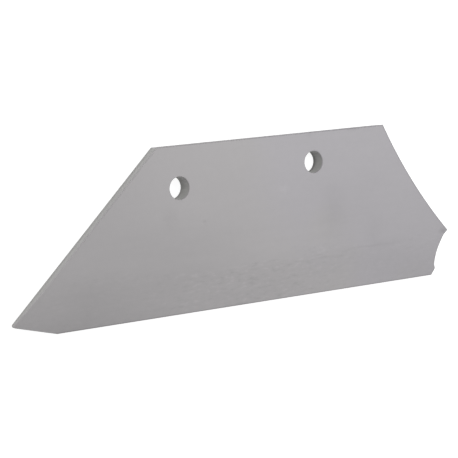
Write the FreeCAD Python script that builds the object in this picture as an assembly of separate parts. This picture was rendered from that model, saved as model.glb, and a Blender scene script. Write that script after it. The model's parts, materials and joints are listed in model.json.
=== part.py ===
"""Plough share: one piece of rolled and cropped steel bar that bolts to a plough body by its seat face.

Frame, in millimetres: the origin is the centre of the point-side bolt hole, on the seat face.
+X runs along the cutting edge from the point to the heel, +Y from the cutting edge up to the top edge,
and +Z from the seat face out through the wearing face.
"""
import FreeCAD, Part
import math
import os

# Rolled bar, whose top edge leans in towards the seat face
bar_thickness = 12.0
bar_width = 126.9
bar_edge_radius = 0.8
top_edge_lean = 0.6

# Rolled bevel along the cutting edge, on the wearing face
bevel_width = 32.0
cutting_edge_thickness = 4.0
cutting_edge_radius = 0.7
bevel_blend_radius = 60.0

# Bolt holes, clearance for M16 plough bolts
hole_diameter = 17.0
hole_rim_chamfer = 0.5
hole_to_top_edge = 31.8
hole_spacing_along = 123.6
heel_hole_rise = 8.4

# Landside crop, a straight cut that leans in towards the seat face
landside_angle = 42.9
hole_to_landside_crop = 35.0
landside_undercut = 1.8

# Point crop, from the landside down to the cutting edge
point_angle = 14.8
point_height = 9.85
point_corner_radius = 1.5

# Shoulder, the long concave arc from the top edge down to the heel
hole_to_top_corner = 193.5
hole_to_heel = 254.8
heel_height = 36.2
shoulder_radius = 393.0

# Heel below the shoulder: a short facet, a concave relief arc, then the nib that the crop leaves,
# which stands out past the foot of the relief, and the heel end of the cutting edge, which is set in from it
heel_facet_setback = 4.0
heel_facet_drop = 3.4
relief_setback = 10.9
relief_height = 8.5
relief_radius = 40.5
nib_projection = 1.3
nib_height = 5.3
cutting_edge_inset = 1.7

# Rounding of the upright corners that the crops leave
crop_corner_radius = 0.6

# Places that follow from the sizes above
top_edge_y = hole_to_top_edge
cutting_edge_y = top_edge_y - bar_width
cutter_margin = bar_thickness


def on_plan(x, y):
    """A point of the outline, on the seat face."""
    return FreeCAD.Vector(x, y, 0.0)


def in_section(y, z):
    """A point of the bar's section, on the plane across the bar through the origin."""
    return FreeCAD.Vector(0.0, y, z)


def direction(angle):
    """Unit vector on the plan, at an angle in degrees from +X."""
    return FreeCAD.Vector(math.cos(math.radians(angle)), math.sin(math.radians(angle)), 0.0)


def crossing(point_a, direction_a, point_b, direction_b):
    """Point where two lines on the plan cross."""
    apart = point_b - point_a
    turn = direction_a.x * direction_b.y - direction_a.y * direction_b.x
    along = (apart.x * direction_b.y - apart.y * direction_b.x) / turn
    return point_a + direction_a * along


def arc_into_blade(start, end, radius):
    """Concave arc of the outline, which bulges to the left of the way from start to end."""
    chord = end - start
    half_chord = chord.Length / 2.0
    rise = radius - math.sqrt(radius ** 2 - half_chord ** 2)
    left = FreeCAD.Vector(-chord.y, chord.x, 0.0).normalize()
    middle = (start + end) * 0.5 + left * rise
    return Part.Arc(start, middle, end).toShape()


def rounded_corner(before, corner, after, radius):
    """Arc of a given radius that touches both sides of a corner."""
    to_before = (before - corner).normalize()
    to_after = (after - corner).normalize()
    half_angle = to_before.getAngle(to_after) / 2.0
    tangent = radius / math.tan(half_angle)
    to_centre = (to_before + to_after).normalize()
    middle = corner + to_centre * (radius / math.sin(half_angle) - radius)
    return Part.Arc(corner + to_before * tangent, middle, corner + to_after * tangent)


def bar_section():
    """Section of the rolled bar: flat seat face, bevelled wearing face, rounded long edges."""
    corners = [
        (in_section(top_edge_y - top_edge_lean, 0.0), bar_edge_radius),
        (in_section(top_edge_y, bar_thickness), bar_edge_radius),
        (in_section(cutting_edge_y + bevel_width, bar_thickness), bevel_blend_radius),
        (in_section(cutting_edge_y, cutting_edge_thickness), cutting_edge_radius),
        (in_section(cutting_edge_y, 0.0), cutting_edge_radius),
    ]
    arcs = []
    for index, (corner, radius) in enumerate(corners):
        before = corners[index - 1][0]
        after = corners[(index + 1) % len(corners)][0]
        arcs.append(rounded_corner(before, corner, after, radius))
    edges = []
    for index, arc in enumerate(arcs):
        edges.append(arc.toShape())
        edges.append(Part.makeLine(arc.EndPoint, arcs[(index + 1) % len(arcs)].StartPoint))
    return Part.Face(Part.Wire(edges))


def outline_corners():
    """Corners of the outline at the wearing face, from the top of the landside round to the heel."""
    along_bar = direction(0.0)
    along_landside = direction(landside_angle)
    landside = direction(landside_angle + 90.0) * hole_to_landside_crop
    top_edge = on_plan(0.0, top_edge_y)
    cutting_edge = on_plan(0.0, cutting_edge_y)
    point_level = on_plan(0.0, cutting_edge_y + point_height)
    point = crossing(landside, along_landside, point_level, along_bar)
    relief_foot_x = hole_to_heel - relief_setback
    return {
        "landside_top": crossing(landside, along_landside, top_edge, along_bar),
        "point": point,
        "point_heel": crossing(point, direction(-point_angle), cutting_edge, along_bar),
        "heel_bottom": on_plan(relief_foot_x - cutting_edge_inset, cutting_edge_y),
        "nib": on_plan(relief_foot_x + nib_projection, cutting_edge_y + nib_height),
        "relief_bottom": on_plan(relief_foot_x, cutting_edge_y + relief_height),
        "relief_top": on_plan(hole_to_heel - heel_facet_setback, cutting_edge_y + heel_height - heel_facet_drop),
        "heel": on_plan(hole_to_heel, cutting_edge_y + heel_height),
        "shoulder_top": on_plan(hole_to_top_corner, top_edge_y),
    }


def outline_face(corners):
    """Face inside the cropped outline."""
    straight = ("landside_top", "point", "point_heel", "heel_bottom", "nib", "relief_bottom")
    edges = [Part.makeLine(corners[start], corners[end]) for start, end in zip(straight, straight[1:])]
    edges.append(arc_into_blade(corners["relief_bottom"], corners["relief_top"], relief_radius))
    edges.append(Part.makeLine(corners["relief_top"], corners["heel"]))
    edges.append(arc_into_blade(corners["heel"], corners["shoulder_top"], shoulder_radius))
    edges.append(Part.makeLine(corners["shoulder_top"], corners["landside_top"]))
    return Part.Face(Part.Wire(edges))


def landside_cutter(corners):
    """Wedge that leans the landside crop in towards the seat face."""
    outward = direction(landside_angle + 90.0)
    along = direction(landside_angle)
    up = FreeCAD.Vector(0.0, 0.0, 1.0)
    start = corners["point"] - along * cutter_margin
    wearing_edge = start + up * bar_thickness
    seat_edge = start - outward * landside_undercut
    clear_low = start + outward * cutter_margin
    clear_high = wearing_edge + outward * cutter_margin
    wedge = Part.Face(Part.makePolygon([wearing_edge, seat_edge, clear_low, clear_high, wearing_edge]))
    run = (corners["landside_top"] - corners["point"]).Length + 2.0 * cutter_margin
    return wedge.extrude(along * run)


def upright_edge(blank, corner):
    """Edge of the cropped blank that comes up to a corner of the wearing face."""
    top = corner + FreeCAD.Vector(0.0, 0.0, bar_thickness)
    for edge in blank.Edges:
        heights = [vertex.Z for vertex in edge.Vertexes]
        if max(heights) - min(heights) > bar_thickness / 2.0:
            if min(vertex.Point.distanceToPoint(top) for vertex in edge.Vertexes) < Part.Precision.confusion():
                return edge
    raise ValueError("no upright edge at this corner")


def cropped_blank():
    """Solid of the outline as cropped, as thick as the bar, with its upright corners rounded."""
    corners = outline_corners()
    blank = outline_face(corners).extrude(FreeCAD.Vector(0.0, 0.0, bar_thickness))
    blank = blank.cut(landside_cutter(corners))
    blank = blank.makeFillet(point_corner_radius, [upright_edge(blank, corners["point"])])
    for name in ("landside_top", "heel_bottom", "nib", "heel", "shoulder_top"):
        blank = blank.makeFillet(crop_corner_radius, [upright_edge(blank, corners[name])])
    return blank


def rolled_bar(blank):
    """Length of rolled bar that the outline is cropped from."""
    box = blank.BoundBox
    start = FreeCAD.Vector(box.XMin - cutter_margin, 0.0, 0.0)
    length = box.XLength + 2.0 * cutter_margin
    return bar_section().translated(start).extrude(FreeCAD.Vector(length, 0.0, 0.0))


def bolt_hole(centre):
    """Cutter for a round hole straight through the bar, with its rim on the wearing face broken."""
    hole_radius = hole_diameter / 2.0
    shank = Part.makeCylinder(hole_radius, bar_thickness, centre)
    rim_start = centre + FreeCAD.Vector(0.0, 0.0, bar_thickness - hole_rim_chamfer)
    rim = Part.makeCone(hole_radius, hole_radius + hole_rim_chamfer, hole_rim_chamfer, rim_start)
    return shank.fuse(rim)


def plough_share():
    """The whole share: bar cropped to its outline and punched for its bolts."""
    blank = cropped_blank()
    share = rolled_bar(blank).common(blank)
    point_hole = bolt_hole(on_plan(0.0, 0.0))
    heel_hole = bolt_hole(on_plan(hole_spacing_along, heel_hole_rise))
    return share.cut([point_hole, heel_hole])


os.makedirs("parts", exist_ok=True)
solid = plough_share().removeSplitter()
solid.exportStep("parts/share_blade.step")
box = solid.BoundBox
print("share_blade", "valid", solid.isValid(), "solids", len(solid.Solids), "volume", round(solid.Volume, 1))
print("size", round(box.XLength, 2), round(box.YLength, 2), round(box.ZLength, 2))
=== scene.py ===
"""Plough share in satin grey paint, lying on its seat face on a pale studio floor.

Everything is in metres, in the part's own frame: the origin is the centre of the point-side bolt hole on
the seat face, +X runs along the cutting edge to the heel, +Y up to the top edge and +Z out of the wearing
face.
"""

import json
import logging
import math
from collections.abc import Callable, Sequence
from dataclasses import dataclass, field
from enum import Enum

import bmesh
import bpy
from mathutils import Matrix, Vector, noise


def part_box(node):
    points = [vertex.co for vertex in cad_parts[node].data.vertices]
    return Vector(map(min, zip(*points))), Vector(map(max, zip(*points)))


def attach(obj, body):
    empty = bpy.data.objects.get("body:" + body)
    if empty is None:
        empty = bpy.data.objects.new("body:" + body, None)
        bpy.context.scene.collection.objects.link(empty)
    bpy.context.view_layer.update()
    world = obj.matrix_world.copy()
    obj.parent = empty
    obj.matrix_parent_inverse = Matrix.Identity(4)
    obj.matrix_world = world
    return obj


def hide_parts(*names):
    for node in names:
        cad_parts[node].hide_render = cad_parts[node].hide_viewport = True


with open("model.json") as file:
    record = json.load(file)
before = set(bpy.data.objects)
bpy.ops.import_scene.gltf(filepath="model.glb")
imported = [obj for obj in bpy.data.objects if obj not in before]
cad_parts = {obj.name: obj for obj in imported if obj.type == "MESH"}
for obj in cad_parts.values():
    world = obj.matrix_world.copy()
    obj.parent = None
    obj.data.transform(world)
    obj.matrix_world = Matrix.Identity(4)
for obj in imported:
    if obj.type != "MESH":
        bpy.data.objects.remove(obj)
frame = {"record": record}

LOG = logging.getLogger("plough_share")
MM = 0.001

Point2 = tuple[float, float]
Colour = tuple[float, float, float, float]
Stretch = Callable[[float], Point2]
Vertex = bmesh.types.BMVert
Socket = bpy.types.NodeSocket


def smooth_step(low: float, high: float, value: float) -> float:
    """Rise smoothly from 0 at low to 1 at high.

    Args:
        low: Value at which the step starts; it may be above high, for a falling step.
        high: Value at which the step ends.
        value: Value to place on the step.

    Returns:
        A share from 0 to 1.
    """
    share = min(max((value - low) / (high - low), 0.0), 1.0)
    return share * share * (3.0 - 2.0 * share)


def mix(start: float, end: float, share: float) -> float:
    """Return the value a share of the way from start to end."""
    return start + (end - start) * share


def straight(start: Point2, end: Point2) -> Stretch:
    """Return a straight stretch of outline, as a function from 0 to 1 along it."""
    return lambda share: (mix(start[0], end[0], share), mix(start[1], end[1], share))


def turned(centre: Point2, radius: float, start: float, end: float) -> Stretch:
    """Make a stretch of outline that turns about a centre.

    Args:
        centre: Centre of the arc.
        radius: Radius of the arc.
        start: Angle at which it starts, in degrees.
        end: Angle at which it ends, in degrees.

    Returns:
        A function from 0 to 1 along the arc.
    """

    def place(share: float) -> Point2:
        """Return the place a share of the way along the arc."""
        angle = math.radians(mix(start, end, share))
        return centre[0] + radius * math.cos(angle), centre[1] + radius * math.sin(angle)

    return place


def hollowed(foot: Point2, head: Point2, radius: float, stop: float | None = None) -> Stretch:
    """Make a concave arc of the outline, with its centre out past the heel.

    Args:
        foot: Lower end of the arc.
        head: Upper end that the radius is drawn through.
        radius: Radius of the arc.
        stop: Height at which the arc really ends, when that isn't the head's.

    Returns:
        A function from 0 to 1 up the arc.
    """
    middle = ((foot[0] + head[0]) / 2.0, (foot[1] + head[1]) / 2.0)
    chord = (head[0] - foot[0], head[1] - foot[1])
    length = math.hypot(*chord)
    rise = math.sqrt(radius**2 - (length / 2.0) ** 2)
    centre = (middle[0] + chord[1] / length * rise, middle[1] - chord[0] / length * rise)
    top = head[1] if stop is None else stop

    def place(share: float) -> Point2:
        """Return the place a share of the way up the arc."""
        y = mix(foot[1], top, share)
        return centre[0] - math.sqrt(radius**2 - (y - centre[1]) ** 2), y

    return place


class Level(Enum):
    """Level at which the outline is taken."""

    SEAT = "seat face"
    WEARING = "wearing face"


@dataclass(frozen=True)
class BladeSizes:
    """Sizes of the share, in metres and degrees."""

    thickness: float
    top_edge: float
    cutting_edge: float
    bevel_width: float = 32.0 * MM
    cutting_thickness: float = 4.0 * MM
    bevel_blend: float = 60.0 * MM
    top_lean: float = 0.6 * MM
    landside_angle: float = 42.9
    landside_distance: float = 35.0 * MM
    landside_undercut: float = 1.8 * MM
    point_angle: float = 14.8
    point_height: float = 9.85 * MM
    point_radius: float = 1.5 * MM
    top_corner: float = 193.5 * MM
    heel_reach: float = 254.8 * MM
    heel_height: float = 36.2 * MM
    shoulder_radius: float = 393.0 * MM
    facet_setback: float = 4.0 * MM
    facet_drop: float = 3.4 * MM
    relief_setback: float = 10.9 * MM
    relief_height: float = 8.5 * MM
    relief_radius: float = 40.5 * MM
    nib_projection: float = 1.3 * MM
    nib_height: float = 5.3 * MM
    cutting_inset: float = 1.7 * MM

    def surface_height(self, y: float) -> float:
        """Height of the wearing face, with its bevel, above the seat face.

        Args:
            y: Place across the bar.

        Returns:
            The height.
        """
        slope = (self.thickness - self.cutting_thickness) / self.bevel_width
        angle = math.atan(slope)
        crease = self.cutting_edge + self.bevel_width
        tangent = self.bevel_blend * math.tan(angle / 2.0)
        start = crease + tangent
        end = crease - tangent * math.cos(angle)
        if y >= start:
            return self.thickness
        if y <= end:
            return self.cutting_thickness + slope * (y - self.cutting_edge)
        return self.thickness - self.bevel_blend + math.sqrt(self.bevel_blend**2 - (start - y) ** 2)


class Outline:
    """Cropped outline of the share at one level, as the stretches of its two ends from bottom to top."""

    def __init__(self, sizes: BladeSizes, level: Level) -> None:
        """Work out the lines and arcs of the outline.

        Args:
            sizes: Sizes of the share.
            level: Level at which the outline is taken.
        """
        at_seat = level is Level.SEAT
        self.sizes = sizes
        self.top = sizes.top_edge - (sizes.top_lean if at_seat else 0.0)
        self.distance = sizes.landside_distance - (sizes.landside_undercut if at_seat else 0.0)
        self.point = self._point()

    def landside_x(self, y: float) -> float:
        """Return the x of the landside crop at a given y."""
        angle = math.radians(self.sizes.landside_angle)
        return (math.cos(angle) * y - self.distance) / math.sin(angle)

    def _point(self) -> Point2:
        """Return where the landside crop meets the point crop, before it is rounded."""
        sizes = self.sizes
        y_wearing = sizes.cutting_edge + sizes.point_height
        landside = math.radians(sizes.landside_angle)
        x_wearing = (math.cos(landside) * y_wearing - sizes.landside_distance) / math.sin(landside)
        fall = math.tan(math.radians(sizes.point_angle))
        gap = self.landside_x(y_wearing) - x_wearing
        drop = gap / (1.0 / fall + 1.0 / math.tan(landside))
        return self.landside_x(y_wearing - drop), y_wearing - drop

    def point_end(self) -> list[Stretch]:
        """Return the point crop, the rounded point and the landside crop, from the cutting edge up."""
        sizes = self.sizes
        landside = math.radians(sizes.landside_angle)
        crop = math.radians(sizes.point_angle)
        half = (landside + crop) / 2.0
        reach = sizes.point_radius / math.sin(half)
        lean = (landside - crop) / 2.0
        centre = (self.point[0] + reach * math.cos(lean), self.point[1] + reach * math.sin(lean))
        start, end = 270.0 - sizes.point_angle, 90.0 + sizes.landside_angle
        rounding = turned(centre, sizes.point_radius, start, end)
        drop = self.point[1] - sizes.cutting_edge
        corner = (self.point[0] + drop / math.tan(crop), sizes.cutting_edge)
        top = (self.landside_x(self.top), self.top)
        return [straight(corner, rounding(0.0)), rounding, straight(rounding(1.0), top)]

    def heel_end(self) -> list[Stretch]:
        """Return the nib's two sides, the relief, the facet and the shoulder, from the cutting edge up."""
        sizes = self.sizes
        base = sizes.cutting_edge
        foot_x = sizes.heel_reach - sizes.relief_setback
        corner = (foot_x - sizes.cutting_inset, base)
        nib = (foot_x + sizes.nib_projection, base + sizes.nib_height)
        foot = (foot_x, base + sizes.relief_height)
        head = (sizes.heel_reach - sizes.facet_setback, base + sizes.heel_height - sizes.facet_drop)
        heel = (sizes.heel_reach, base + sizes.heel_height)
        top = (sizes.top_corner, sizes.top_edge)
        return [
            straight(corner, nib),
            straight(nib, foot),
            hollowed(foot, head, sizes.relief_radius),
            straight(head, heel),
            hollowed(heel, top, sizes.shoulder_radius, self.top),
        ]


@dataclass(frozen=True)
class BoltHole:
    """Round bolt hole through the share, with a dark band by the seat face: painted shade deep in the hole,
    together with the darker fracture zone that punching leaves.
    """

    centre: Point2
    radius: float
    shade_and_fracture: float
    shade_and_fracture_height: float = 2.6 * MM


@dataclass(frozen=True)
class Dent:
    """Small shallow mark pressed into the wearing face."""

    place: Point2
    reach: float
    depth: float

    def height(self, x: float, y: float) -> float:
        """Return how far the mark lowers the face at a place."""
        share = math.hypot(x - self.place[0], y - self.place[1]) / self.reach
        return -self.depth * math.exp(-share * share) if share < 3.0 else 0.0


@dataclass(frozen=True)
class RolledSurface:
    """Unevenness that rolling and cropping leave in the steel."""

    sizes: BladeSizes
    wave_depth: float = 0.06 * MM
    wave_length: float = 70.0 * MM
    scale_depth: float = 0.03 * MM
    scale_length: float = 3.6 * MM
    crop_depth: float = 0.06 * MM
    crop_length: float = 1.6 * MM
    wave_seed: float = 0.3
    scale_seed: float = 7.1
    strip_above: float = 8.0 * MM
    strip_full: float = 4.0 * MM
    dents: tuple[Dent, ...] = (
        Dent((94.0 * MM, -9.7 * MM), 1.6 * MM, 0.10 * MM),
        Dent((20.0 * MM, -26.7 * MM), 0.9 * MM, 0.15 * MM),
        Dent((-10.0 * MM, -22.0 * MM), 3.0 * MM, 0.06 * MM),
    )

    def roughened(self, y: float) -> float:
        """Return how far a place lies in the rough-rolled strip along the cutting edge, from 0 to 1."""
        crease = self.sizes.cutting_edge + self.sizes.bevel_width
        return smooth_step(crease + self.strip_above, crease - self.strip_full, y)

    def face(self, x: float, y: float) -> float:
        """Give how far the wearing face stands off its true form.

        Args:
            x: Place along the bar.
            y: Place across the bar.

        Returns:
            A height, which may be below zero.
        """
        wave = noise.noise(Vector((x / self.wave_length, y / self.wave_length, self.wave_seed)))
        height = self.wave_depth * wave
        rough = self.roughened(y)
        if rough > 0.0:
            place = Vector((x / self.scale_length, y / self.scale_length, self.scale_seed))
            height += rough * self.scale_depth * (noise.noise(place) + 0.5 * noise.noise(place * 2.1))
        return height + sum(dent.height(x, y) for dent in self.dents)

    def crop(self, place: Vector) -> float:
        """Return how far a cropped face stands off its true form, in streaks through the thickness."""
        streaked = Vector((place.x, place.y, place.z * 0.25)) / self.crop_length
        return self.crop_depth * noise.noise(streaked)


@dataclass(frozen=True)
class MeshDensity:
    """How finely the share's mesh is divided."""

    point_end: tuple[int, ...] = (22, 8, 110)
    heel_end: tuple[int, ...] = (4, 3, 24, 4, 105)
    columns: int = 350
    wall: int = 4
    rounding: int = 3
    hole_layers: int = 9
    hole_block: float = 16.5 * MM


@dataclass(frozen=True)
class EdgeRadii:
    """Radii worn on the edges of the steel, and the width of the darker line along them, which is painted
    shade together with worn paint.
    """

    wearing: float = 0.3 * MM
    seat: float = 0.25 * MM
    hole_rim: float = 0.35 * MM
    wear_and_shade_line: float = 0.75 * MM


class BladeMesh:
    """The share's mesh: wearing face, rounded wall all round it, two bolt holes and seat face."""

    def __init__(self, sizes: BladeSizes, holes: Sequence[BoltHole]) -> None:
        """Prepare an empty mesh.

        Args:
            sizes: Sizes of the share.
            holes: Bolt holes to leave open.
        """
        self.sizes = sizes
        self.holes = holes
        self.surface = RolledSurface(sizes)
        self.density = MeshDensity()
        self.radii = EdgeRadii()
        self.mesh = bmesh.new()
        self.layers = {name: self.mesh.verts.layers.float.new(name) for name in ("edge", "crop", "shade_and_fracture")}
        self.seat_loops: list[list[Vertex]] = []

    def vertex(self, place: Vector, **masks: float) -> Vertex:
        """Add a vertex.

        Args:
            place: Where it goes.
            masks: How far it belongs to a dark edge of painted shade and worn paint, a cropped face or the
                hole's dark band of painted shade and fracture zone, from 0 to 1 each.

        Returns:
            The vertex.
        """
        vertex = self.mesh.verts.new(place)
        for name, value in masks.items():
            vertex[self.layers[name]] = value
        return vertex

    def bridge(self, low: Sequence[Vertex], high: Sequence[Vertex]) -> None:
        """Join two closed rings of as many vertices with quads.

        Args:
            low: Ring that the faces start from, counter-clockwise as seen from outside.
            high: Ring that they end at.
        """
        for index in range(len(low)):
            after = (index + 1) % len(low)
            self.mesh.faces.new((low[index], low[after], high[after], high[index]))

    def sampled(self, stretches: Sequence[Stretch], counts: Sequence[int]) -> list[Point2]:
        """Sample one end of the outline.

        Args:
            stretches: Stretches of the end, from bottom to top.
            counts: Number of steps along each.

        Returns:
            The places, with each corner once.
        """
        places = [stretches[0](0.0)]
        for stretch, count in zip(stretches, counts):
            places.extend(stretch(step / count) for step in range(1, count + 1))
        return places

    def loop(self, level: Level) -> list[Vector]:
        """Return the closed outline at a level, counter-clockwise from the start of the cutting edge."""
        outline = Outline(self.sizes, level)
        left = self.sampled(outline.point_end(), self.density.point_end)
        right = self.sampled(outline.heel_end(), self.density.heel_end)
        columns = self.density.columns
        bottom = [straight(left[0], right[0])(step / columns) for step in range(columns)]
        top = [straight(right[-1], left[-1])(step / columns) for step in range(columns)]
        return [Vector(place) for place in [*bottom, *right[:-1], *top, *reversed(left[1:])]]

    def side_normals(self, places: Sequence[Vector]) -> list[Vector]:
        """Work out the outward direction at each place of a closed outline, longer where it turns a corner.

        Args:
            places: The closed outline, counter-clockwise.

        Returns:
            One direction a place, so that an equal step along each moves every side by that step.
        """
        sides = []
        for index, place in enumerate(places):
            along = (places[(index + 1) % len(places)] - place).normalized()
            sides.append(Vector((along.y, -along.x)))
        normals = []
        for index, side in enumerate(sides):
            before = sides[index - 1]
            normals.append((before + side) / max(1.0 + before.dot(side), 0.5))
        return normals

    def ring_place(self, index: int, inset: float, drop: float) -> Vector:
        """Find a place of the wearing face's border, or just below it.

        Args:
            index: Position along the outline.
            inset: Distance in from the outline.
            drop: Distance below the wearing face.

        Returns:
            The place in space.
        """
        seat, wearing = self.seat_outline[index], self.wearing_outline[index]
        height = self.sizes.surface_height(wearing.y)
        for _ in range(3):
            plan = seat.lerp(wearing, (height - drop) / self.sizes.thickness) - self.normals[index] * inset
            height = self.sizes.surface_height(plan.y)
        return Vector((plan.x, plan.y, height - drop + self.surface.face(plan.x, plan.y)))

    def wall_place(self, index: int, height: float, inset: float, roughness: float) -> Vector:
        """Find a place on the wall round the share.

        Args:
            index: Position along the outline.
            height: Height above the seat face.
            inset: Distance in from the wall.
            roughness: How much of the cropped surface's unevenness shows, from 0 to 1.

        Returns:
            The place in space.
        """
        seat, wearing = self.seat_outline[index], self.wearing_outline[index]
        plan = seat.lerp(wearing, height / self.sizes.thickness)
        place = Vector((plan.x, plan.y, height))
        step = self.surface.crop(place) * roughness if self.is_cropped(index) else 0.0
        plan = plan + self.normals[index] * (step - inset)
        return Vector((plan.x, plan.y, height))

    def is_cropped(self, index: int) -> bool:
        """Return whether a position of the outline lies on a cropped end, and not on a rolled edge."""
        columns, rows = self.density.columns, sum(self.density.point_end)
        return columns < index < columns + rows or index > 2 * columns + rows

    def edge_wear_and_shade(self, index: int) -> float:
        """Return how dark the wearing face's edge is painted, as painted shade together with worn paint:
        least low on the landside crop.
        """
        columns, rows = self.density.columns, sum(self.density.point_end)
        if index <= 2 * columns + rows:
            return 1.0
        return smooth_step(-70.0 * MM, 0.0 * MM, self.wearing_outline[index].y) * 0.35

    def wall(self) -> list[Vertex]:
        """Build the rounded wall all round the share, from the wearing face's border down to the seat face.

        Returns:
            The ring of vertices at the wearing face's border.
        """
        count = len(self.wearing_outline)
        radii, density = self.radii, self.density
        edge_shade = [self.edge_wear_and_shade(k) for k in range(count)]
        crop = [1.0 if self.is_cropped(k) else 0.0 for k in range(count)]
        rings = []
        for reach, share in ((1.0, 0.0), (0.55, 1.0)):
            inset = radii.wearing + radii.wear_and_shade_line * reach
            rings.append([
                self.vertex(self.ring_place(k, inset, 0.0), edge=edge_shade[k] * share)
                for k in range(count)
            ])
        for step in range(density.rounding + 1):
            angle = math.pi / 2.0 * step / density.rounding
            inset = radii.wearing * (1.0 - math.sin(angle))
            drop = radii.wearing * (1.0 - math.cos(angle))
            rings.append([
                self.vertex(self.ring_place(k, inset, drop), edge=edge_shade[k])
                for k in range(count)
            ])
        tops = [vertex.co.z for vertex in rings[-1]]
        for step in range(1, density.wall + 1):
            share = step / density.wall
            rough = math.sin(math.pi * share)
            # painted shade: the wall darkens over its lower half, towards the seat face on the floor
            worn = smooth_step(0.5, 1.0, share)
            heights = [mix(top, radii.seat, share) for top in tops]
            rings.append([
                self.vertex(self.wall_place(k, heights[k], 0.0, rough), edge=worn, crop=crop[k])
                for k in range(count)
            ])
        # painted shade: the rounding by the seat face is dark all round
        for step in range(1, density.rounding + 1):
            angle = math.pi / 2.0 * step / density.rounding
            inset = radii.seat * (1.0 - math.cos(angle))
            height = radii.seat * (1.0 - math.sin(angle))
            rings.append([
                self.vertex(self.wall_place(k, height, inset, 0.0), edge=1.0)
                for k in range(count)
            ])
        for upper, lower in zip(rings, rings[1:]):
            self.bridge(lower, upper)
        self.seat_loops.append(rings[-1])
        return rings[0]

    def face_places(self, border: Sequence[Vertex]) -> list[list[Vector]]:
        """Lay out the wearing face's grid between its two ends.

        Args:
            border: Ring of vertices round the wearing face.

        Returns:
            The places, row by row from the cutting edge, each row from the landside to the heel.
        """
        columns, rows = self.density.columns, sum(self.density.point_end)
        grid = []
        for row in range(rows + 1):
            left = border[-row].co
            right = border[columns + row].co
            places = [left.lerp(right, column / columns) for column in range(columns + 1)]
            for place in places[1:-1]:
                place.z = self.sizes.surface_height(place.y) + self.surface.face(place.x, place.y)
            grid.append(places)
        return grid

    def hole_block(self, grid: Sequence[Sequence[Vector]], hole: BoltHole) -> tuple[int, int, int, int]:
        """Choose the block of the grid that a hole is set in.

        Args:
            grid: Places of the wearing face's grid.
            hole: The hole.

        Returns:
            The block's first and last row, and its first and last column.
        """
        centre = Vector(hole.centre)

        def distance(row: int, column: int) -> float:
            """Return how far a place of the grid lies from the hole's centre."""
            return (grid[row][column].xy - centre).length

        spots = ((row, column) for row in range(len(grid)) for column in range(len(grid[0])))
        row, column = min(spots, key=lambda spot: distance(*spot))
        limits = []
        for row_step, column_step in ((-1, 0), (1, 0), (0, -1), (0, 1)):
            steps = 0
            while distance(row + row_step * steps, column + column_step * steps) < self.density.hole_block:
                steps += 1
            limits.append(row + row_step * steps if row_step else column + column_step * steps)
        return limits[0], limits[1], limits[2], limits[3]

    def wearing_face(self, border: Sequence[Vertex]) -> None:
        """Build the wearing face inside its border, with a block of it shaped round each hole.

        Args:
            border: Ring of vertices round the wearing face.
        """
        grid = self.face_places(border)
        columns, rows = self.density.columns, sum(self.density.point_end)
        blocks = [self.hole_block(grid, hole) for hole in self.holes]
        vertices: dict[tuple[int, int], Vertex] = {}
        for row in range(rows + 1):
            vertices[row, 0] = border[-row]
            vertices[row, columns] = border[columns + row]
        for column in range(columns + 1):
            vertices[0, column] = border[column]
            vertices[rows, column] = border[columns + rows + columns - column]

        def spot(row: int, column: int) -> Vertex:
            """Return the grid's vertex at a row and column, made when first asked for."""
            if (row, column) not in vertices:
                vertices[row, column] = self.vertex(grid[row][column])
            return vertices[row, column]

        for row in range(rows):
            for column in range(columns):
                if any(a <= row < b and c <= column < d for a, b, c, d in blocks):
                    continue
                near = (spot(row, column), spot(row, column + 1))
                far = (spot(row + 1, column + 1), spot(row + 1, column))
                self.mesh.faces.new(near + far)
        for hole, (low, high, first, last) in zip(self.holes, blocks):
            ring = [spot(low, column) for column in range(first, last)]
            ring += [spot(row, last) for row in range(low, high)]
            ring += [spot(high, column) for column in range(last, first, -1)]
            ring += [spot(row, first) for row in range(high, low, -1)]
            self.hole(hole, ring)

    def hole(self, hole: BoltHole, block: Sequence[Vertex]) -> None:
        """Fill the face from a block's border to the hole's rim, and go on down its wall.

        Args:
            hole: The hole.
            block: Closed ring of vertices round it, counter-clockwise.
        """
        centre = Vector(hole.centre)
        directions = [(vertex.co.xy - centre).normalized() for vertex in block]
        rim = hole.radius + self.radii.hole_rim
        ring = list(block)
        layers = self.density.hole_layers
        for layer in range(1, layers + 1):
            share = layer / layers
            eased = share * (1.6 - 0.6 * share)  # finer layers by the rim
            inner = []
            # painted shade with worn paint: a dark ring on the face at the hole's rim
            worn = 0.6 if layer == layers else 0.0
            for outer, direction in zip(block, directions):
                plan = outer.co.xy.lerp(centre + direction * rim, eased)
                height = self.sizes.surface_height(plan.y) + self.surface.face(plan.x, plan.y)
                inner.append(self.vertex(Vector((plan.x, plan.y, height)), edge=worn))
            self.bridge(ring, inner)
            ring = inner
        self.hole_wall(hole, directions, ring)

    def hole_wall(self, hole: BoltHole, directions: Sequence[Vector], rim: Sequence[Vertex]) -> None:
        """Build the worn rim and the wall of a hole, down to the seat face.

        Args:
            hole: The hole.
            directions: Direction from the hole's centre to each vertex of the rim.
            rim: Closed ring of vertices where the wearing face ends.
        """
        centre, ring = Vector(hole.centre), rim
        top, chamfer = self.sizes.thickness, self.radii.hole_rim
        band = hole.shade_and_fracture_height
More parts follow.
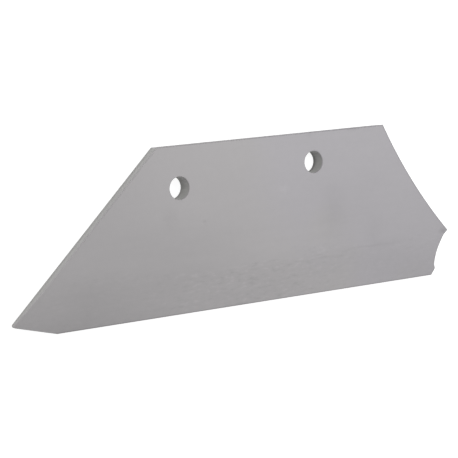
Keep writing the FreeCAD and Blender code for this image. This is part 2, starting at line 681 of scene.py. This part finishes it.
        # step out in rims, height, dark edge (painted shade and worn paint), dark band (painted shade and
        # fracture zone)
        profile = [
            (0.6, top - 0.1 * chamfer, 0.9, 0.0),
            (0.2, top - 0.45 * chamfer, 0.9, 0.0),
            (0.0, top - chamfer, 0.5, 0.0),
            (0.0, top - 2.5 * chamfer, 0.0, 0.0),
            (0.0, mix(top, band, 0.35), 0.0, 0.0),
            (0.0, mix(top, band, 0.7), 0.0, 0.0),
            (0.0, band * 1.25, 0.0, 0.15),
            (0.0, band * 0.85, 0.0, 0.9),
            (0.0, band * 0.4, 0.0, 1.0),
            (0.0, 0.0, 0.0, 1.0),
        ]
        for step, (out, height, worn, dark) in enumerate(profile):
            inner = []
            for direction, above in zip(directions, ring):
                drift = above.co.z - top if step == 0 else 0.0
                plan = centre + direction * (hole.radius + out * chamfer)
                rough = self.surface.crop(Vector((plan.x, plan.y, height))) * 0.8 if 3 <= step <= 8 else 0.0
                plan += direction * rough
                masks = {"edge": worn, "crop": 1.0 if step > 2 else 0.0, "shade_and_fracture": dark * hole.shade_and_fracture}
                inner.append(self.vertex(Vector((plan.x, plan.y, height + drift)), **masks))
            self.bridge(ring, inner)
            ring = inner
        self.seat_loops.append(ring)

    def seat_face(self) -> None:
        """Fill the flat seat face between the wall and the holes."""
        edges = []
        for loop in self.seat_loops:
            for index, vertex in enumerate(loop):
                edges.append(self.mesh.edges.get((vertex, loop[(index + 1) % len(loop)])))
        down = Vector((0.0, 0.0, -1.0))
        filled = bmesh.ops.triangle_fill(self.mesh, edges=edges, use_beauty=True, normal=down)
        for face in filled["geom"]:
            if isinstance(face, bmesh.types.BMFace):
                face.normal_update()
                if face.normal.z > 0.0:
                    face.normal_flip()
                face.smooth = False

    def build(self, name: str) -> bpy.types.Object:
        """Build the whole mesh.

        Args:
            name: Name of the piece.

        Returns:
            The piece, linked to the scene.
        """
        self.seat_outline = self.loop(Level.SEAT)
        self.wearing_outline = self.loop(Level.WEARING)
        self.normals = self.side_normals(self.wearing_outline)
        self.wearing_face(self.wall())
        for face in self.mesh.faces:
            face.smooth = True
        self.seat_face()
        data = bpy.data.meshes.new(name)
        self.mesh.to_mesh(data)
        self.mesh.free()
        piece = bpy.data.objects.new(name, data)
        bpy.context.scene.collection.objects.link(piece)
        return piece


class NodePad:
    """Short way of laying out a material's nodes."""

    def __init__(self, tree: bpy.types.NodeTree) -> None:
        """Start from an empty tree.

        Args:
            tree: The tree to fill.
        """
        self.tree = tree
        tree.nodes.clear()

    def node(self, kind: str, **settings: object) -> bpy.types.Node:
        """Add a node.

        Args:
            kind: The node's type name without its ShaderNode prefix.
            settings: Its properties.

        Returns:
            The node.
        """
        node = self.tree.nodes.new("ShaderNode" + kind)
        for key, value in settings.items():
            setattr(node, key, value)
        return node

    def feed(self, socket: Socket, value: object) -> None:
        """Link an output to a socket, or set the socket's own value."""
        if isinstance(value, Socket):
            self.tree.links.new(value, socket)
        else:
            socket.default_value = value

    def math(self, operation: str, *values: object) -> Socket:
        """Return the output of a Math node fed with values."""
        node = self.node("Math", operation=operation)
        for socket, value in zip(node.inputs, values):
            self.feed(socket, value)
        return node.outputs[0]

    def span(self, value: object, low: float, high: float, start: float, end: float) -> Socket:
        """Map a value smoothly from one range to another.

        Args:
            value: Value or output to map.
            low: Start of the range it comes from.
            high: End of the range it comes from.
            start: What low becomes.
            end: What high becomes.

        Returns:
            The mapped output.
        """
        node = self.node("MapRange", interpolation_type="SMOOTHSTEP")
        for socket, item in zip(node.inputs, (value, low, high, start, end)):
            self.feed(socket, item)
        return node.outputs[0]

    def swing(self, value: object, reach: float, amount: float) -> Socket:
        """Turn a value about 0.5 into one about 0.

        Args:
            value: Value or output to map, mostly a noise.
            reach: How far from 0.5 the value goes before it stops counting.
            amount: Distance between the lowest and the highest result.

        Returns:
            The mapped output.
        """
        return self.span(value, 0.5 - reach, 0.5 + reach, -amount / 2.0, amount / 2.0)

    def noise(
        self, place: object, waves: float, detail: float = 2.0, rough: float = 0.5, along: float = 1.0
    ) -> Socket:
        """Return the output of a Noise node, about 0.5 on average.

        Args:
            place: Output that gives the place.
            waves: Waves a metre.
            detail: Number of finer layers.
            rough: How strong the finer layers are.
            along: Share of those waves along the bar, below 1 for noise drawn out along it.

        Returns:
            The noise.
        """
        node = self.node("TexNoise")
        if along < 1.0:
            place = self.stretched(place, (along, 1.0, 1.0))
        values = {"Vector": place, "Scale": waves, "Detail": detail, "Roughness": rough}
        for socket, value in values.items():
            self.feed(node.inputs[socket], value)
        return node.outputs[0]

    def stretched(self, place: object, factors: tuple[float, float, float]) -> Socket:
        """Return a place with its axes scaled by factors."""
        node = self.node("VectorMath", operation="MULTIPLY")
        self.feed(node.inputs[0], place)
        self.feed(node.inputs[1], factors)
        return node.outputs[0]

    def mask(self, name: str) -> Socket:
        """Return one of the masks that the mesh carries."""
        return self.node("Attribute", attribute_name=name).outputs["Fac"]


@dataclass(frozen=True)
class Mark:
    """Soft spot on the wearing face where the paint is lighter or darker: small ones are scuffs and flecks,
    broad ones painted light and shade.
    """

    place: Point2
    reach: Point2
    tone: float


@dataclass(frozen=True)
class SteelMaps:
    """Outputs that describe the steel under the paint, shared by its tone, gloss and relief."""

    place: Socket
    along: Socket
    across: Socket
    border: Socket
    rolled: Socket
    flecks: Socket
    strip: Socket


@dataclass(frozen=True)
class SatinGreyPaint:
    """Thin satin grey paint over rolled steel, which shows its roughness along the cutting edge."""

    sizes: BladeSizes
    cool: Colour = (0.389, 0.3762, 0.395, 1.0)
    warm: Colour = (0.389, 0.3762, 0.3826, 1.0)
    cropped: Colour = (0.400, 0.396, 0.386, 1.0)
    cool_span: Point2 = (55.0 * MM, 135.0 * MM)
    cool_slant: float = 0.9
    cool_wander: float = 70.0 * MM
    roughness: float = 0.52
    roughness_swing: float = 0.1
    strip_roughness: float = 0.12
    drift: float = 0.035
    streaks: float = 0.025
    mottle: float = 0.014
    fleck_tone: float = 0.085
    edge_tone: float = 0.24
    crop_tone: float = 0.07
    crop_span: Point2 = (-45.0 * MM, 25.0 * MM)
    # painted light: the bevel is made lighter, against its tilt away from the lamps
    bevel_painted_light: float = 0.02
    bump_depth: float = 0.05 * MM
    strip_relief: float = 0.8
    peel_relief: float = 0.25
    strip_margins: Point2 = (1.0 * MM, 3.0 * MM)
    strip_soft: float = 3.5 * MM
    strip_ragged: float = 10.0 * MM
    strip_span: Point2 = (-10.0 * MM, 135.0 * MM)
    strip_fade: float = 45.0 * MM
    strip_least: float = 0.32
    # painted shade: faint dark line along the bevel's crease
    crease_span: Point2 = (101.0 * MM, 204.0 * MM)
    crease_band: Point2 = (-68.5 * MM, -66.5 * MM)
    crease_tone: float = 0.04
    # small marks are scuffs and flecks; the broad ones paint the fall of light over the face: painted shade
    # along the cutting edge, deepest at the lower left, and painted light over the upper face
    marks: tuple[Mark, ...] = (
        Mark((94.0 * MM, -9.7 * MM), (5.0 * MM, 2.6 * MM), 0.06),
        Mark((20.0 * MM, -26.7 * MM), (1.5 * MM, 1.3 * MM), -0.10),
        Mark((-10.0 * MM, -22.0 * MM), (7.0 * MM, 8.0 * MM), -0.05),
        Mark((140.0 * MM, -31.0 * MM), (12.0 * MM, 21.0 * MM), -0.05),
        Mark((178.0 * MM, -52.0 * MM), (9.0 * MM, 15.0 * MM), -0.03),
        Mark((250.0 * MM, -59.0 * MM), (4.0 * MM, 2.5 * MM), -0.16),
        Mark((163.0 * MM, 31.0 * MM), (6.0 * MM, 1.6 * MM), -0.12),
        Mark((121.0 * MM, 30.0 * MM), (3.0 * MM, 2.0 * MM), -0.06),
        Mark((-112.0 * MM, -95.0 * MM), (75.0 * MM, 34.0 * MM), -0.10),
        Mark((-120.0 * MM, -76.0 * MM), (30.0 * MM, 16.0 * MM), 0.085),
        Mark((-70.0 * MM, -99.0 * MM), (120.0 * MM, 12.0 * MM), -0.065),
        Mark((-5.0 * MM, -48.0 * MM), (60.0 * MM, 24.0 * MM), -0.06),
        Mark((20.0 * MM, 0.0 * MM), (70.0 * MM, 30.0 * MM), 0.03),
        Mark((95.0 * MM, 20.0 * MM), (50.0 * MM, 20.0 * MM), 0.02),
        Mark((0.0 * MM, 34.0 * MM), (90.0 * MM, 26.0 * MM), 0.035),
        Mark((160.0 * MM, -35.0 * MM), (40.0 * MM, 30.0 * MM), -0.035),
        Mark((170.0 * MM, 0.0 * MM), (70.0 * MM, 50.0 * MM), -0.01),
        Mark((170.0 * MM, -74.0 * MM), (50.0 * MM, 16.0 * MM), -0.03),
        Mark((225.0 * MM, -92.0 * MM), (50.0 * MM, 16.0 * MM), -0.06),
    )

    def band(self, pad: NodePad, value: object, low: float, high: float, soft: float) -> Socket:
        """Mask the places where a value lies in a range.

        Args:
            pad: Where the nodes go.
            value: The value.
            low: Start of the range.
            high: End of the range.
            soft: Width over which the mask fades at each end.

        Returns:
            The mask, from 0 to 1.
        """
        rise = pad.span(value, low - soft, low + soft, 0.0, 1.0)
        fall = pad.span(value, high - soft, high + soft, 1.0, 0.0)
        return pad.math("MULTIPLY", rise, fall)

    def blended(self, pad: NodePad, share: object, start: object, end: object) -> Socket:
        """Return a colour a share of the way from start to end."""
        node = pad.node("Mix", data_type="RGBA")
        for index, value in ((0, share), (6, start), (7, end)):
            pad.feed(node.inputs[index], value)
        return node.outputs[2]

    def spot(self, pad: NodePad, place: object, mark: Mark) -> Socket:
        """Return the tone that a mark adds at a place."""
        offset = pad.node("VectorMath", operation="SUBTRACT")
        pad.feed(offset.inputs[0], place)
        pad.feed(offset.inputs[1], (mark.place[0], mark.place[1], self.sizes.thickness))
        scaled = pad.stretched(offset.outputs[0], (1.0 / mark.reach[0], 1.0 / mark.reach[1], 60.0))
        length = pad.node("VectorMath", operation="LENGTH")
        pad.feed(length.inputs[0], scaled)
        return pad.span(length.outputs["Value"], 0.0, 1.6, mark.tone, 0.0)

    def maps(self, pad: NodePad) -> SteelMaps:
        """Lay out what the tone, the gloss and the relief all need.

        Args:
            pad: Where the nodes go.

        Returns:
            The outputs.
        """
        place = pad.node("TexCoord").outputs["Object"]
        split = pad.node("SeparateXYZ")
        pad.feed(split.inputs[0], place)
        along, across = split.outputs[0], split.outputs[1]
        ragged = pad.swing(pad.noise(place, 60.0, along=0.25), 0.2, self.strip_ragged)
        border = pad.math("ADD", across, ragged)
        low = self.sizes.cutting_edge + self.strip_margins[0]
        high = self.sizes.cutting_edge + self.sizes.bevel_width + self.strip_margins[1]
        strip = self.band(pad, border, low, high, self.strip_soft)
        middle = self.band(pad, along, *self.strip_span, self.strip_fade)
        share = pad.math("MULTIPLY_ADD", middle, 1.0 - self.strip_least, self.strip_least)
        return SteelMaps(
            place=place,
            along=along,
            across=across,
            border=border,
            rolled=pad.noise(place, 170.0, 3.0, along=0.18),
            flecks=pad.noise(place, 400.0, 3.0, 0.6, along=0.38),
            strip=pad.math("MULTIPLY", strip, share),
        )

    def steel_tone_and_crease_shade(self, pad: NodePad, maps: SteelMaps) -> Socket:
        """Work out the tone that the rolled steel gives the paint, about 1, with a painted shade line along
        the bevel's crease.

        Args:
            pad: Where the nodes go.
            maps: What describes the steel.

        Returns:
            The tone.
        """
        drift = pad.swing(pad.noise(maps.place, 9.0, 1.0), 0.2, self.drift)
        streaks = pad.swing(maps.rolled, 0.25, self.streaks)
        mottle = pad.swing(pad.noise(maps.place, 210.0, 2.0), 0.2, self.mottle)
        dark = pad.span(maps.flecks, 0.53, 0.70, 0.0, -self.fleck_tone)
        light = pad.span(maps.flecks, 0.30, 0.47, self.fleck_tone, 0.0)
        flecks = pad.math("MULTIPLY", pad.math("ADD", dark, light), maps.strip)
        # painted shade along the bevel's crease
        crease = pad.math(
            "MULTIPLY",
            self.band(pad, maps.border, *self.crease_band, 0.8 * MM),
            self.band(pad, maps.along, *self.crease_span, 12.0 * MM),
        )
        tone = pad.math("ADD", 1.0, drift)
        for part in (streaks, mottle, flecks, pad.math("MULTIPLY", crease, -self.crease_tone)):
            tone = pad.math("ADD", tone, part)
        return tone

    def tone(self, pad: NodePad, maps: SteelMaps) -> Socket:
        """Work out the paint's tone: its marks, which are scuffs, flecks and broad painted light and shade,
        its dark edges and lower walls of painted shade and worn paint, and the painted shade deep in the
        holes.

        Args:
            pad: Where the nodes go.
            maps: What describes the steel.

        Returns:
            The tone.
        """
        tone = self.steel_tone_and_crease_shade(pad, maps)
        # marks: scuffs and flecks, and broad patches of painted light and shade
        for mark in self.marks:
            tone = pad.math("ADD", tone, self.spot(pad, maps.place, mark))
        crease = self.sizes.cutting_edge + self.sizes.bevel_width
        # painted light: the bevel is made lighter, against its tilt away from the lamps
        bevel = pad.span(maps.across, crease - 6.0 * MM, crease + 8.0 * MM, self.bevel_painted_light, 0.0)
        tone = pad.math("ADD", tone, bevel)
        # painted shade with worn paint: darker edges, lower walls and hole rims
        tone = pad.math("MULTIPLY_ADD", pad.mask("edge"), -self.edge_tone, tone)
        # painted shade: the seat end of each hole's wall is darkened, over its fracture zone
        tone = pad.math("SUBTRACT", tone, pad.mask("shade_and_fracture"))
        upper = pad.span(maps.across, *self.crop_span, 0.0, -self.crop_tone)
        return pad.math("MULTIPLY_ADD", pad.mask("crop"), upper, tone)

    def hue(self, pad: NodePad, maps: SteelMaps) -> Socket:
        """Work out the paint's hue, cooler towards the heel and neutral on the cropped ends.

        Args:
            pad: Where the nodes go.
            maps: What describes the steel.

        Returns:
            The hue.
        """
        wander = pad.swing(pad.noise(maps.place, 14.0, 1.0), 0.2, self.cool_wander)
        wandering = pad.math("ADD", maps.along, wander)
        slanted = pad.math("MULTIPLY_ADD", maps.across, self.cool_slant, wandering)
        cool_end = pad.span(slanted, *self.cool_span, 0.0, 1.0)
        rolled_hue = self.blended(pad, cool_end, self.warm, self.cool)
        return self.blended(pad, pad.mask("crop"), rolled_hue, self.cropped)

    def relief(self, pad: NodePad, maps: SteelMaps) -> Socket:
        """Work out the fine relief of the flecks and of the paint's own skin.

        Args:
            pad: Where the nodes go.
            maps: What describes the steel.

        Returns:
            The bumped normal.
        """
        skin = pad.math("MULTIPLY", pad.noise(maps.place, 900.0, 2.0), self.peel_relief)
        flecks = pad.math("MULTIPLY", maps.flecks, maps.strip)
        bump = pad.node("Bump")
        pad.feed(bump.inputs["Strength"], 1.0)
        pad.feed(bump.inputs["Distance"], self.bump_depth)
        pad.feed(bump.inputs["Height"], pad.math("MULTIPLY_ADD", flecks, self.strip_relief, skin))
        return bump.outputs[0]

    def build(self, name: str) -> bpy.types.Material:
        """Build the finish.

        Args:
            name: Name of the material.

        Returns:
            The material.
        """
        material = bpy.data.materials.new(name)
        material.use_nodes = True
        pad = NodePad(material.node_tree)
        maps = self.maps(pad)
        colour = pad.node("VectorMath", operation="SCALE")
        pad.feed(colour.inputs[0], self.hue(pad, maps))
        pad.feed(colour.inputs["Scale"], self.tone(pad, maps))
        worn = pad.math("ADD", self.roughness, pad.swing(maps.rolled, 0.3, self.roughness_swing))
        roughness = pad.math("MULTIPLY_ADD", maps.strip, self.strip_roughness, worn)
        shader = pad.node("BsdfPrincipled")
        pad.feed(shader.inputs["Base Color"], colour.outputs[0])
        pad.feed(shader.inputs["Roughness"], roughness)
        pad.feed(shader.inputs["Normal"], self.relief(pad, maps))
        output = pad.node("OutputMaterial")
        pad.feed(output.inputs["Surface"], shader.outputs[0])
        return material


@dataclass
class PloughShare:
    """The share: one bar of steel, bevelled, cropped at both ends and drilled for two bolts."""

    sizes: BladeSizes
    holes: list[BoltHole]
    finish: SatinGreyPaint = field(init=False)

    def __post_init__(self) -> None:
        """Choose the finish for these sizes."""
        self.finish = SatinGreyPaint(self.sizes)

    @classmethod
    def from_frame(cls, node: str) -> "PloughShare":
        """Take the share's main sizes and its bolt holes from the solid model.

        Args:
            node: Name of the solid.

        Returns:
            The share, not yet built.
        """
        low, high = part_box(node)
        sizes = BladeSizes(thickness=high.z - low.z, top_edge=high.y, cutting_edge=low.y)
        bores = {mount["name"]: mount for mount in frame["record"]["mounts"] if mount["kind"] == "bore"}
        # strength of each hole's dark band of painted shade and fracture zone
        shade_and_fracture = {"point_bolt_hole": 0.1, "heel_bolt_hole": 0.45}
        holes = [
            BoltHole(tuple(bore["pos_m"][:2]), bore["dims"]["r_mm"] * MM, shade_and_fracture[name])
            for name, bore in bores.items()
        ]
        return cls(sizes, holes)

    def build(self, name: str, node: str) -> bpy.types.Object:
        """Build the share in place of its solid and paint it.

        Args:
            name: Name of the piece.
            node: Name of the solid that it stands for.

        Returns:
            The piece.
        """
        piece = BladeMesh(self.sizes, self.holes).build(name)
        piece.data.materials.append(self.finish.build("satin_grey_paint"))
        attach(piece, "root")
        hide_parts(node)
        return piece


@dataclass(frozen=True)
class SoftLamp:
    """Square soft lamp."""

    name: str
    place: tuple[float, float, float]
    aim: tuple[float, float, float]
    size: float
    power: float

    def build(self) -> None:
        """Hang the lamp and turn it to its aim."""
        light = bpy.data.lights.new(self.name, "AREA")
        light.size = self.size
        light.energy = self.power
        lamp = bpy.data.objects.new(self.name, light)
        lamp.location = self.place
        lamp.rotation_euler = (Vector(self.place) - Vector(self.aim)).to_track_quat("Z", "Y").to_euler()
        bpy.context.scene.collection.objects.link(lamp)


@dataclass(frozen=True)
class Studio:
    """White sweep, even room light and three soft lamps."""

    floor_radius: float = 3.0
    floor_drop: float = 0.3 * MM
    floor_tone: float = 0.8
    glow: float = 0.9
    shadow_tone: float = 0.3
    room_light: float = 0.54
    lamps: tuple[SoftLamp, ...] = (
        SoftLamp("overhead", (0.255, 0.113, 0.433), (0.05, -0.03, 0.0), 0.25, 0.83),
        SoftLamp("point_side", (-0.640, 0.549, 0.631), (0.05, -0.03, 0.0), 0.5, 3.42),
        SoftLamp("heel_side", (0.740, -0.609, 0.631), (0.05, -0.03, 0.0), 0.5, 1.2),
    )

    def seen_directly(self, pad: NodePad) -> Socket:
        """Return 1 where the background is looked at, also in gloss or glass, and 0 where it lights."""
        rays = pad.node("LightPath").outputs
        seen = pad.math("MAXIMUM", rays["Is Camera Ray"], rays["Is Glossy Ray"])
        return pad.math("MAXIMUM", seen, rays["Is Transmission Ray"])

    def floor(self) -> bpy.types.Object:
        """Build the pale floor disc just under the seat face."""
        data = bpy.data.meshes.new("studio_floor")
        mesh = bmesh.new()
        bmesh.ops.create_circle(mesh, cap_ends=True, segments=96, radius=self.floor_radius)
        mesh.to_mesh(data)
        mesh.free()
        floor = bpy.data.objects.new("studio_floor", data)
        floor.location.z = -self.floor_drop
        bpy.context.scene.collection.objects.link(floor)
        material = bpy.data.materials.new("white_sweep")
        material.use_nodes = True
        pad = NodePad(material.node_tree)
        plain = pad.node("BsdfDiffuse")
        pad.feed(plain.inputs["Color"], (self.floor_tone,) * 3 + (1.0,))
        faint = pad.node("BsdfDiffuse")
        pad.feed(faint.inputs["Color"], (self.shadow_tone,) * 3 + (1.0,))
        glow = pad.node("Emission")
        pad.feed(glow.inputs["Strength"], self.glow)
        lit = pad.node("AddShader")
        pad.feed(lit.inputs[0], glow.outputs[0])
        pad.feed(lit.inputs[1], faint.outputs[0])
        choice = pad.node("MixShader")
        pad.feed(choice.inputs[0], self.seen_directly(pad))
        pad.feed(choice.inputs[1], plain.outputs[0])
        pad.feed(choice.inputs[2], lit.outputs[0])
        output = pad.node("OutputMaterial")
        pad.feed(output.inputs["Surface"], choice.outputs[0])
        data.materials.append(material)
        return floor

    def room(self) -> None:
        """Light the room evenly and show it white."""
        world = bpy.data.worlds.new("white_room")
        bpy.context.scene.world = world
        world.use_nodes = True
        pad = NodePad(world.node_tree)
        glow = pad.node("Background")
        pad.feed(glow.inputs["Strength"], pad.span(self.seen_directly(pad), 0.0, 1.0, self.room_light, 1.0))
        output = pad.node("OutputWorld")
        pad.feed(output.inputs["Surface"], glow.outputs[0])

    def build(self) -> None:
        """Build the floor, the room light and the lamps."""
        self.floor()
        self.room()
        for lamp in self.lamps:
            lamp.build()


@dataclass(frozen=True)
class Viewpoint:
    """Camera that looks down on the wearing face from past the point, with the top edge upward."""

    aim: tuple[float, float, float] = (41.546 * MM, -34.908 * MM, 12.0 * MM)
    azimuth: float = 168.873
    elevation: float = 56.008
    distance: float = 1.42953
    roll: float = -3.4036
    lens: float = 149.34
    sensor: float = 36.0

    def build(self) -> None:
        """Place the camera and make it the scene's own."""
        azimuth, elevation = math.radians(self.azimuth), math.radians(self.elevation)
        level = math.cos(elevation)
        back = Vector((level * math.cos(azimuth), level * math.sin(azimuth), math.sin(elevation)))
        right = Vector((0.0, 1.0, 0.0)).cross(back).normalized()
        turn = Matrix((right, back.cross(right), back)).transposed()
        turn = turn @ Matrix.Rotation(math.radians(self.roll), 3, "Z")
        data = bpy.data.cameras.new("viewpoint")
        data.lens = self.lens
        data.sensor_width = self.sensor
        camera = bpy.data.objects.new("viewpoint", data)
        camera.matrix_world = Matrix.Translation(Vector(self.aim) + back * self.distance) @ turn.to_4x4()
        bpy.context.scene.collection.objects.link(camera)
        bpy.context.scene.camera = camera


def main() -> None:
    """Build the share, the studio and the camera."""
    logging.basicConfig(level=logging.INFO, format="%(name)s: %(message)s")
    bpy.context.scene.view_settings.view_transform = "Standard"
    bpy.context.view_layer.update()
    share = PloughShare.from_frame("share_blade")
    piece = share.build("painted_share", "share_blade")
    LOG.info("%s: %d faces", piece.name, len(piece.data.polygons))
    Studio().build()
    Viewpoint().build()


if __name__ == "__main__":
    main()
